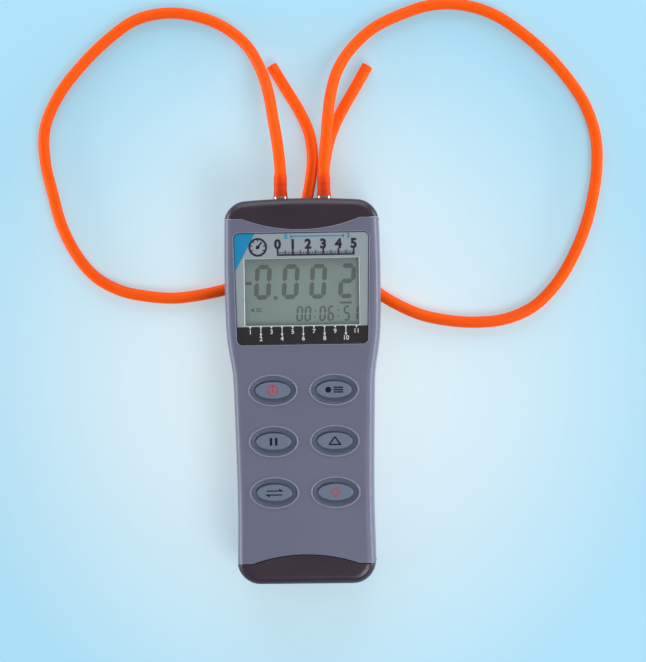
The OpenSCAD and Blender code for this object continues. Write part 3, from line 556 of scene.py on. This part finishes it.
def hose(name, side, fall, run, end):
    """A hollow hose from its port down to the table (fall), round (run) and to its end."""
    start = [laid(side * PORT_X, TUBE_Y + d, PORT_Z) for d in STRAIGHT]
    last = Vector((*end, HOSE_R)) * MM
    back = (Vector((*run[-1], HOSE_R)) * MM - last).normalized()
    way = start + [Vector(p) * MM for p in fall] + [Vector((a, b, HOSE_R)) * MM for a, b in run]
    path = curve_through(way + [last + back * (END_STRAIGHT * MM), last], STEPS)
    for p in path[len(start) * STEPS:]:
        p.z = max(p.z, HOSE_R * MM)
    points, wrap, over = [], [], []
    s = 0.0
    for i, p in enumerate(path):
        if i:
            s += (p - path[i - 1]).length
        t = (path[min(i + 1, len(path) - 1)] - path[max(i - 1, 0)]).normalized()
        u = t.cross(Vector((0, 0, 1))).normalized()
        v = u.cross(t)
        for r in (outer_radius(s / MM), BORE_R):
            for k in range(HOSE_SIDES):
                a = 2 * math.pi * k / HOSE_SIDES
                points.append(p + (u * math.cos(a) + v * math.sin(a)) * (r * MM))
                wrap += [r * MM * math.cos(a), r * MM * math.sin(a), s / STREAK]
                over.append(redness(s / MM))
    obj = piece(name + "_hose", points, tube_faces(len(path), HOSE_SIDES), MATS["hose_rubber"],
                smooth=True)
    obj.data.attributes.new("wrap", "FLOAT_VECTOR", "POINT").data.foreach_set("vector", wrap)
    obj.data.attributes.new("over_barbs", "FLOAT", "POINT").data.foreach_set("value", over)
    split_edges(obj, PIECE_CREASE)
    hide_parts(name + "_tube")
    print("hose", name, "length", round(s / MM, 1), "mm")


for name, route in ROUTES.items():
    hose(name, **route)


# Print on the display's sheet, and painted shade along its edge
# The width of the dark line along its edge, which is painted shade, and the pieces that each
# round corner is drawn in
EDGE_SHADE_W, CORNER_N = 0.3, 8
# The rim of the recess: how far outside the sheet it is and under the face, and its radius
RIM_OUT, RIM_SINK, RIM_R = 0.36, 0.04, 0.15
# The blue corner: how far it goes along the head and down the left side
CORNER_X, CORNER_LOW = -21.6, (-31.4, 145.5)
# The dark strip: its top and half its width there
STRIP_TOP, STRIP_HALF = 120.2, 30.7


def sheet_edge(inset):
    """The sheet's outline, drawn in by inset, from its right end at the head anticlockwise."""
    r = SHEET_R - inset
    out = []
    for sx, sy, a0 in ((1, 1, 0), (-1, 1, 90), (-1, -1, 180), (1, -1, 270)):
        half = SHEET_HALF - (SHEET_TAPER if sy < 0 else 0)
        out += circle(sx * (half - SHEET_R), SHEET_Y + sy * (SHEET_REACH - SHEET_R), r,
                      a0, a0 + 90, CORNER_N)
    return out


EDGE = sheet_edge(0)
HEAD_LEFT, TAIL_LEFT, TAIL_RIGHT = [EDGE[k * (CORNER_N + 1):(k + 1) * (CORNER_N + 1)]
                                    for k in (1, 2, 3)]
# The dark line along the sheet's edge is painted shade of the recess.
line = list(zip(EDGE, sheet_edge(EDGE_SHADE_W)))
printed("sheet_edge_shade", [[a[0], b[0], b[1], a[1]] for a, b in zip(line, line[1:] + line[:1])],
        SHEET_TOP, INK_AND_PAINTED_LIGHT["line"])
# The rim bead round the recess is painted lighter as a highlight.
bead("recess_rim", sheet_edge(-RIM_OUT), CASE_T - RIM_SINK, RIM_R, INK_AND_PAINTED_LIGHT["rim"])
printed("corner_print", [[(CORNER_X, HEAD_LEFT[0][1])] + HEAD_LEFT + [CORNER_LOW]],
        SHEET_TOP, INK_AND_PAINTED_LIGHT["blue"])
printed("strip_print",
        [[(STRIP_HALF, STRIP_TOP), (-STRIP_HALF, STRIP_TOP)] + TAIL_LEFT + TAIL_RIGHT],
        SHEET_TOP, INK_AND_PAINTED_LIGHT["black"])

# Marks under the display, with plain numbers in two rows. Every second mark goes on in an
# arrow, and its number is in the lower row. Numbers have a height and a weight.
MARKS, MARK_X, MARK_STEP = 11, -24.4, 4.96
NUMBER_ROWS, NUMBER_H, NUMBER_WEIGHT = (116.9, 113.7), 2.15, 0.04
MARK_UP, STEM_HALF, STEM, ARROW_TOP = 0.1, 0.17, (3.6, 0.8), 3.2


def wedge(x, top, half, h):
    """A triangle that points down."""
    return [(x - half, top), (x + half, top), (x, top - h)]


marks, numbers = [], []
for i in range(MARKS):
    x = MARK_X + i * MARK_STEP
    low = i % 2
    marks.append(wedge(x, STRIP_TOP + MARK_UP, 0.6, 1.1))
    if low:
        marks += [box2(x - STEM_HALF, x + STEM_HALF, STRIP_TOP - STEM[0], STRIP_TOP - STEM[1]),
                  wedge(x, STRIP_TOP - ARROW_TOP, 0.65, 1.3)]
    numbers.append((str(i + 1), x, NUMBER_ROWS[low], NUMBER_H, NUMBER_WEIGHT))
printed("strip_marks", marks, SHEET_TOP + INK_T, INK_AND_PAINTED_LIGHT["white"], numbers)

# A plain graduated scale over the display, and the sign of a dial beside it. Its marks have
# a height and a width at each whole step, half step and tenth.
SCALE_X, SCALE_Y, SCALE_STEP, WHOLE_STEPS = -11.0, 153.2, 7.1, 5
WHOLE, HALF, TENTH = (2.5, 0.8), (1.9, 0.5), (1.3, 0.3)
BASE_T, BASE_END, MARK_FOOT = 0.7, 0.35, SCALE_Y + 0.6
SCALE_END = SCALE_X + WHOLE_STEPS * SCALE_STEP
SCALE_NUMBER = (SCALE_Y + 3.4, 4.4, 0.3)
marks = [box2(SCALE_X - BASE_END, SCALE_END + BASE_END, SCALE_Y, SCALE_Y + BASE_T)]
for i in range(WHOLE_STEPS * 10 + 1):
    x = SCALE_X + i * SCALE_STEP / 10
    tall, w = WHOLE if i % 10 == 0 else HALF if i % 5 == 0 else TENTH
    marks.append(box2(x - w / 2, x + w / 2, MARK_FOOT, MARK_FOOT + tall))
numbers = [(str(i), SCALE_X + i * SCALE_STEP, *SCALE_NUMBER) for i in range(WHOLE_STEPS + 1)]
DIAL, DIAL_R, DIAL_W = (-20.3, 157.4), 3.9, 0.95
HAND, HUB_R = (52, -1.0, 3.0, 0.8), 0.85
DIAL_ANGLES, DIAL_MARK = (-30, 10, 90, 130, 170, 210), (2.55, 3.5, 0.5)
dial = ring(*DIAL, DIAL_R, DIAL_W) + [ray(*DIAL, *HAND), circle(*DIAL, HUB_R)]
dial += [ray(*DIAL, a, *DIAL_MARK) for a in DIAL_ANGLES]
printed("scale_print", marks + dial, SHEET_TOP, INK_AND_PAINTED_LIGHT["title"], numbers)

# A blue line over the scale, from one number to another
RANGE_X0, RANGE_X1, RANGE_T = -5, 20, 0.5
RANGE_LINE, RANGE_ENDS = (162.0, 162.5), (161.3, 163.2)
RANGE_NUMBER = (161.2, 2.2, 0.12)
printed("range_print",
        [box2(RANGE_X0, RANGE_X1, *RANGE_LINE), box2(RANGE_X0, RANGE_X0 + RANGE_T, *RANGE_ENDS),
         box2(RANGE_X1 - RANGE_T, RANGE_X1, *RANGE_ENDS)],
        SHEET_TOP, INK_AND_PAINTED_LIGHT["blue"],
        [("0", -7.1, *RANGE_NUMBER), ("5", 22.1, *RANGE_NUMBER)])


# The bevel round the view, light grey as a painted highlight: its width, its height over the
# window and its thickness
BEVEL_W, BEVEL_UP, BEVEL_T = 0.28, 0.01, 0.05


def sloped_frame(name, inset, z_low, mat):
    """A bevel round the view, that falls from the sheet to the window."""
    x0, x1, y0, y1 = VIEW
    outer = box2(x0, x1, y0, y1)
    inner = box2(x0 + inset, x1 - inset, y0 + inset, y1 - inset)
    points = [laid(x, y, SHEET_TOP) for x, y in outer]
    points += [laid(x, y, z_low + BEVEL_T) for x, y in inner]
    points += [laid(x, y, z_low) for x, y in outer + inner]
    faces = []
    for k in range(4):
        j = (k + 1) % 4
        faces += [[k, j, j + 4, k + 4], [k + 4, j + 4, j + 12, k + 12],
                  [k + 12, j + 12, j + 8, k + 8], [k + 8, j + 8, j, k]]
    piece(name, points, faces, mat)


sloped_frame("view_bevel", BEVEL_W, WINDOW_TOP + BEVEL_UP, INK_AND_PAINTED_LIGHT["bevel"])

# Display segments. A row of numerals has the height of its foot, and their width, height,
# weight and gap. The minus, point and underline are boxes, as VIEW is.
SEGMENTS = {"0": "abcdef", "1": "bc", "2": "abged", "5": "afgcd", "6": "afgedc"}
SLANT = 0.07
MAIN_ROW = (133.0, 7.8, 16.3, 2.15, 0.15)
MAIN_X = (-22.8, -9.8, 3.1, 16.6)
MINUS, POINT = (-26.5, -23.6, 140.0, 141.4), (-13.3, -11.6, 132.9, 134.5)
CLOCK_ROW = (122.5, 3.1, 7.2, 0.95, 0.05)
CLOCK_X = (-3.1, 0.7, 7.6, 11.5, 18.9, 22.7)
UNDERLINE = (17.5, 23.1, 130.6, 131.5)
COLON_X, COLON_DOTS, COLON_W = (5.4, 16.3), ((0, 124.3), (0.15, 127.1)), 0.7
DOT, DOT_R = (-23.3, 128.1), 0.8
BARS_X, BARS_Y, BAR_T = (-21.9, -19.2), (127.2, 127.9, 128.6), 0.4


def digit(char, x, y, w, h, t, gap):
    """Mitred bars of one numeral whose lower left corner is x, y."""
    m, c = h / 2, t / 2

    def bar(x0, y0, x1, y1):
        """One upright or level bar with pointed ends."""
        if x0 == x1:
            y0, y1 = y0 + gap, y1 - gap
            raw = [(x0, y0), (x0 + c, y0 + c), (x0 + c, y1 - c), (x0, y1), (x0 - c, y1 - c),
                   (x0 - c, y0 + c)]
        else:
            x0, x1 = x0 + gap, x1 - gap
            raw = [(x0, y0), (x0 + c, y0 - c), (x1 - c, y0 - c), (x1, y0), (x1 - c, y0 + c),
                   (x0 + c, y0 + c)]
        return [(x + px + SLANT * py, y + py) for px, py in raw]

    ends = {"a": (c, h - c, w - c, h - c), "g": (c, m, w - c, m), "d": (c, c, w - c, c),
            "f": (c, m, c, h - c), "b": (w - c, m, w - c, h - c),
            "e": (c, c, c, m), "c": (w - c, c, w - c, m)}
    return [bar(*ends[s]) for s in SEGMENTS[char]]


main = [box2(*MINUS), box2(*POINT)]
for char, x in zip("0002", MAIN_X):
    main += digit(char, x, *MAIN_ROW)
printed("main_digits", main, LCD_TOP, INK_AND_PAINTED_LIGHT["lcd_dark"], t=SEGMENT_T)
small = [box2(*UNDERLINE)]
for char, x in zip("000651", CLOCK_X):
    small += digit(char, x, *CLOCK_ROW)
for x in COLON_X:
    small += [box2(x + dx, x + dx + COLON_W, y, y + COLON_W) for dx, y in COLON_DOTS]
small += [circle(*DOT, DOT_R)] + [box2(*BARS_X, y, y + BAR_T) for y in BARS_Y]
printed("small_digits", small, LCD_TOP, INK_AND_PAINTED_LIGHT["lcd_dark"], t=SEGMENT_T)

# A lip along the head's cap, painted lighter as a highlight, and a dark line along the tail's, a
# bead painted dark as the shadow in the groove there. Each edge is where the cap ends, how deep
# and how wide it dips, the side it lies on (1 is the head), and the case's half width there.
HEAD_EDGE = (CASE_LEN - 9.4, 5.2, 55, 1, 36.35)
TAIL_EDGE = (9.35, 4.3, 50, -1, 31.75)
LIP_R, GROOVE_R, OFF_FACE = 0.2, 0.24, 0.02
DIP_STEPS, SIDE_ANGLES = 16, (0, 15, 30, 45, 60, 72)


def cap_edge(level, dip, dip_w, sign, side):
    """A cap's edge over the face and down its round sides."""
    half = dip_w / 2
    r = (half ** 2 + dip ** 2) / (2 * dip)
    middle = [half * (k / DIP_STEPS - 1) for k in range(2 * DIP_STEPS + 1)]
    arc = [(x, level - sign * (dip - r + math.sqrt(r * r - x * x)), 0) for x in middle]
    turns = [math.radians(a) for a in SIDE_ANGLES]
    bent = [(side - FRONT_R + FRONT_R * math.sin(a), level, FRONT_R * (math.cos(a) - 1))
            for a in turns]
    return [(-x, y, z) for x, y, z in bent[::-1]] + arc + bent


bead("head_lip_highlight", cap_edge(*HEAD_EDGE), CASE_T - OFF_FACE, LIP_R, INK_AND_PAINTED_LIGHT["lip"], closed=False)
bead("tail_groove_shadow", cap_edge(*TAIL_EDGE), CASE_T + OFF_FACE, GROOVE_R, INK_AND_PAINTED_LIGHT["groove"],
     closed=False)

# Keys: a skin in each dish coloured darker as painted shade, a rim bead round it painted lighter
# as a highlight, a soft foot in the gap round the key, and a sign on the key. KEYS gives the side
# and the row of each. A level of the skin is its depth and its share of the way from the rim to
# the key's hole.
KEYS = {"key_power": (-1, 2), "key_record": (1, 2), "key_hold": (-1, 1),
        "key_difference": (1, 1), "key_unit": (-1, 0), "key_light": (1, 0)}
SKIN, OVAL_N = 0.03, 36
DISH_LEVELS = [(0, 0), (0.63, 0.22), (1.12, 0.52), (1.4, 1)]
# The rim's height over the face and its radius, and how far the middle of the foot's bead is
# inside the key's edge and under the face, and its radius
DISH_RIM_UP, DISH_RIM_R = 0.15, 0.24
FOOT_IN, FOOT_DEEP, FOOT_R = 0.13, 1.5, 0.35
# Widths of the lines of the signs
SIGN_W, THIN_W = 0.65, 0.55


def key_at(key):
    """The middle of a key."""
    side, row = KEYS[key]
    return side * COLUMN, ROW + row * PITCH


def dish_skin(name, cx, cy):
    """A thin skin on the dish round a key, from its rim to the key's hole, darker than the case
    as painted shade.
    """
    hole = (KEY[0] + KEY_SLOT, KEY[1] + KEY_SLOT)
    levels = [(depth, share, lift) for lift, order in ((SKIN, 1), (-SKIN, -1))
              for depth, share in DISH_LEVELS[::order]]
    points, faces = [], []
    for k, (depth, share, lift) in enumerate(levels):
        size = [rim + (inner - rim) * share for rim, inner in zip(DISH, hole)]
        points += [laid(x, y, CASE_T - depth + lift) for x, y in oval(cx, cy, *size, OVAL_N)]
        here, there = k * OVAL_N, (k + 1) % len(levels) * OVAL_N
        for q in range(OVAL_N):
            after = (q + 1) % OVAL_N
            faces.append([here + q, here + after, there + after, there + q])
    split_edges(piece(name, points, faces, INK_AND_PAINTED_LIGHT["dish"], smooth=True), PIECE_CREASE)


def sign(key, shapes, ink):
    """A sign on a key, drawn round the key's middle."""
    cx, cy = key_at(key)
    shapes = [[(x + cx, y + cy) for x, y in s] for s in shapes]
    printed(key + "_sign", shapes, KEY_TOP, INK_AND_PAINTED_LIGHT[ink], body=key)


for key in KEYS:
    at = key_at(key)
    # Each rim bead is painted lighter as a highlight, and each dish skin darker as painted shade.
    bead(key + "_rim", oval(*at, *DISH), CASE_T + DISH_RIM_UP, DISH_RIM_R, INK_AND_PAINTED_LIGHT["rim"])
    dish_skin(key + "_dish", *at)
    bead(key + "_foot", oval(*at, KEY[0] - FOOT_IN, KEY[1] - FOOT_IN), CASE_T - FOOT_DEEP, FOOT_R,
         MATS["key_rubber"], key)

# The signs: power, a dot with three lines, two upright bars, a triangle, two arrows, a lamp
sign("key_power", ring(0, 0, 2.3, THIN_W) + [box2(-0.3, 0.3, -1.1, 2.3)], "red")
sign("key_record",
     [circle(-2.7, 0, 1.4)] + [box2(-0.2, 4.2, y, y + SIGN_W) for y in (-1.4, -0.33, 0.75)],
     "navy")
sign("key_hold", [box2(x, x + 1.15, -1.8, 1.8) for x in (-1.8, 0.65)], "navy")
sign("key_difference",
     [stroke(-2.6, -1.6, 0, 2.0, SIGN_W), stroke(0, 2.0, 2.6, -1.6, SIGN_W),
      stroke(-2.9, -1.6, 2.9, -1.6, SIGN_W)],
     "navy")
sign("key_unit",
     [box2(-3.6, 3.0, 0.65, 0.65 + THIN_W), [(2.2, 2.1), (2.2, 0.65), (4.4, 0.65)],
      box2(-3.0, 3.6, -0.65 - THIN_W, -0.65), [(-2.2, -2.1), (-2.2, -0.65), (-4.4, -0.65)]],
     "navy")
sign("key_light",
     ring(0, 0.3, 1.3, 0.5, -50, 230) + [box2(-0.8, 0.8, -1.6, -1.1), box2(-0.5, 0.5, -2.2, -1.8)]
     + [ray(0, 0.3, a, 2.0, 2.9, 0.42) for a in range(0, 181, 45)],
     "red")

# Floor and light. The floor is nearly white at the object and pale blue round it, the whiter
# middle being a painted pool of light, and the distances are in metres.
FLOOR_NEAR, FLOOR_BLUE, FLOOR_FADE = (0.85, 0.96, 0.99), (0.42, 0.75, 0.93), (0.03, 0.18)
FLOOR_HALF, FLOOR_DOWN, FLOOR_ROUGH = 20, 0.00005, 0.6
EVEN_STRENGTH, EVEN_FADE, EVEN_SHARE = 0.95, (0.2, 0.8), (0.4, 1.0)
WORLD_COLOUR, WORLD_STRENGTH = (0.93, 0.97, 1.0, 1), 0.36
floor = bpy.data.meshes.new("floor")
corners = box2(-FLOOR_HALF, FLOOR_HALF, -FLOOR_HALF, FLOOR_HALF)
floor.from_pydata([(x, y, -FLOOR_DOWN) for x, y in corners], [], [[0, 1, 2, 3]])
ground = bpy.data.objects.new("floor", floor)
scene.collection.objects.link(ground)
paint = Paint("floor", FLOOR_ROUGH)
paint.shader.inputs["Roughness"].default_value = paint.rough
away = paint.combine("LENGTH", paint.where, kind="ShaderNodeVectorMath")
pale = paint.mix(paint.ramp(away, *FLOOR_FADE), FLOOR_NEAR, FLOOR_BLUE)
paint.link(pale, paint.shader.inputs["Base Color"])

# The camera and reflections see the floor partly as an even backdrop, and wholly so far from the
# object. A view from below and the light of the lamp below go through it.
rays = paint.tree.nodes.new("ShaderNodeLightPath").outputs
seen = rays["Is Camera Ray"]
for kind in ("Is Glossy Ray", "Is Transmission Ray"):
    seen = paint.combine("MAXIMUM", seen, rays[kind])
backdrop = paint.combine("MULTIPLY", seen, paint.ramp(away, *EVEN_FADE, *EVEN_SHARE))
even = paint.node("ShaderNodeEmission", Strength=EVEN_STRENGTH)
paint.link(pale, even.inputs["Color"])
clear = paint.tree.nodes.new("ShaderNodeBsdfTransparent")
below = paint.tree.nodes.new("ShaderNodeNewGeometry").outputs["Backfacing"]
surface = paint.shader.outputs[0]
for share, other in ((backdrop, even), (below, clear), (rays["Is Shadow Ray"], clear)):
    both = paint.tree.nodes.new("ShaderNodeMixShader")
    for value, into in zip((share, surface, other.outputs[0]), both.inputs):
        paint.link(value, into)
    surface = both.outputs[0]
paint.link(surface, paint.tree.nodes["Material Output"].inputs["Surface"])
floor.materials.append(paint.made)

world = bpy.data.worlds.new("studio")
world.use_nodes = True
sky = world.node_tree.nodes["Background"]
sky.inputs["Color"].default_value = WORLD_COLOUR
sky.inputs["Strength"].default_value = WORLD_STRENGTH
scene.world = world


def lamp(name, at, size, watts):
    """A soft box that faces the object."""
    data = bpy.data.lights.new(name, "AREA")
    data.shape = "RECTANGLE"
    data.size, data.size_y = size
    data.energy = watts
    obj = bpy.data.objects.new(name, data)
    scene.collection.objects.link(obj)
    aim = (-Vector(at)).to_track_quat("-Z", "Y").to_matrix().to_4x4()
    obj.matrix_world = Matrix.Translation(at) @ aim


# Where each lamp is, its size, and its watts
lamp("front", (0.65, -0.85, 1.25), (0.8, 0.8), 12.5)
lamp("left", (-1.1, 0.1, 0.16), (1.2, 0.3), 10.5)
lamp("right", (1.1, 0.1, 0.16), (1.2, 0.3), 10.0)
lamp("head", (0, 0.95, 0.42), (1.2, 0.85), 6.5)
lamp("under", (0, -0.1, -1.0), (1.2, 1.2), 4.5)
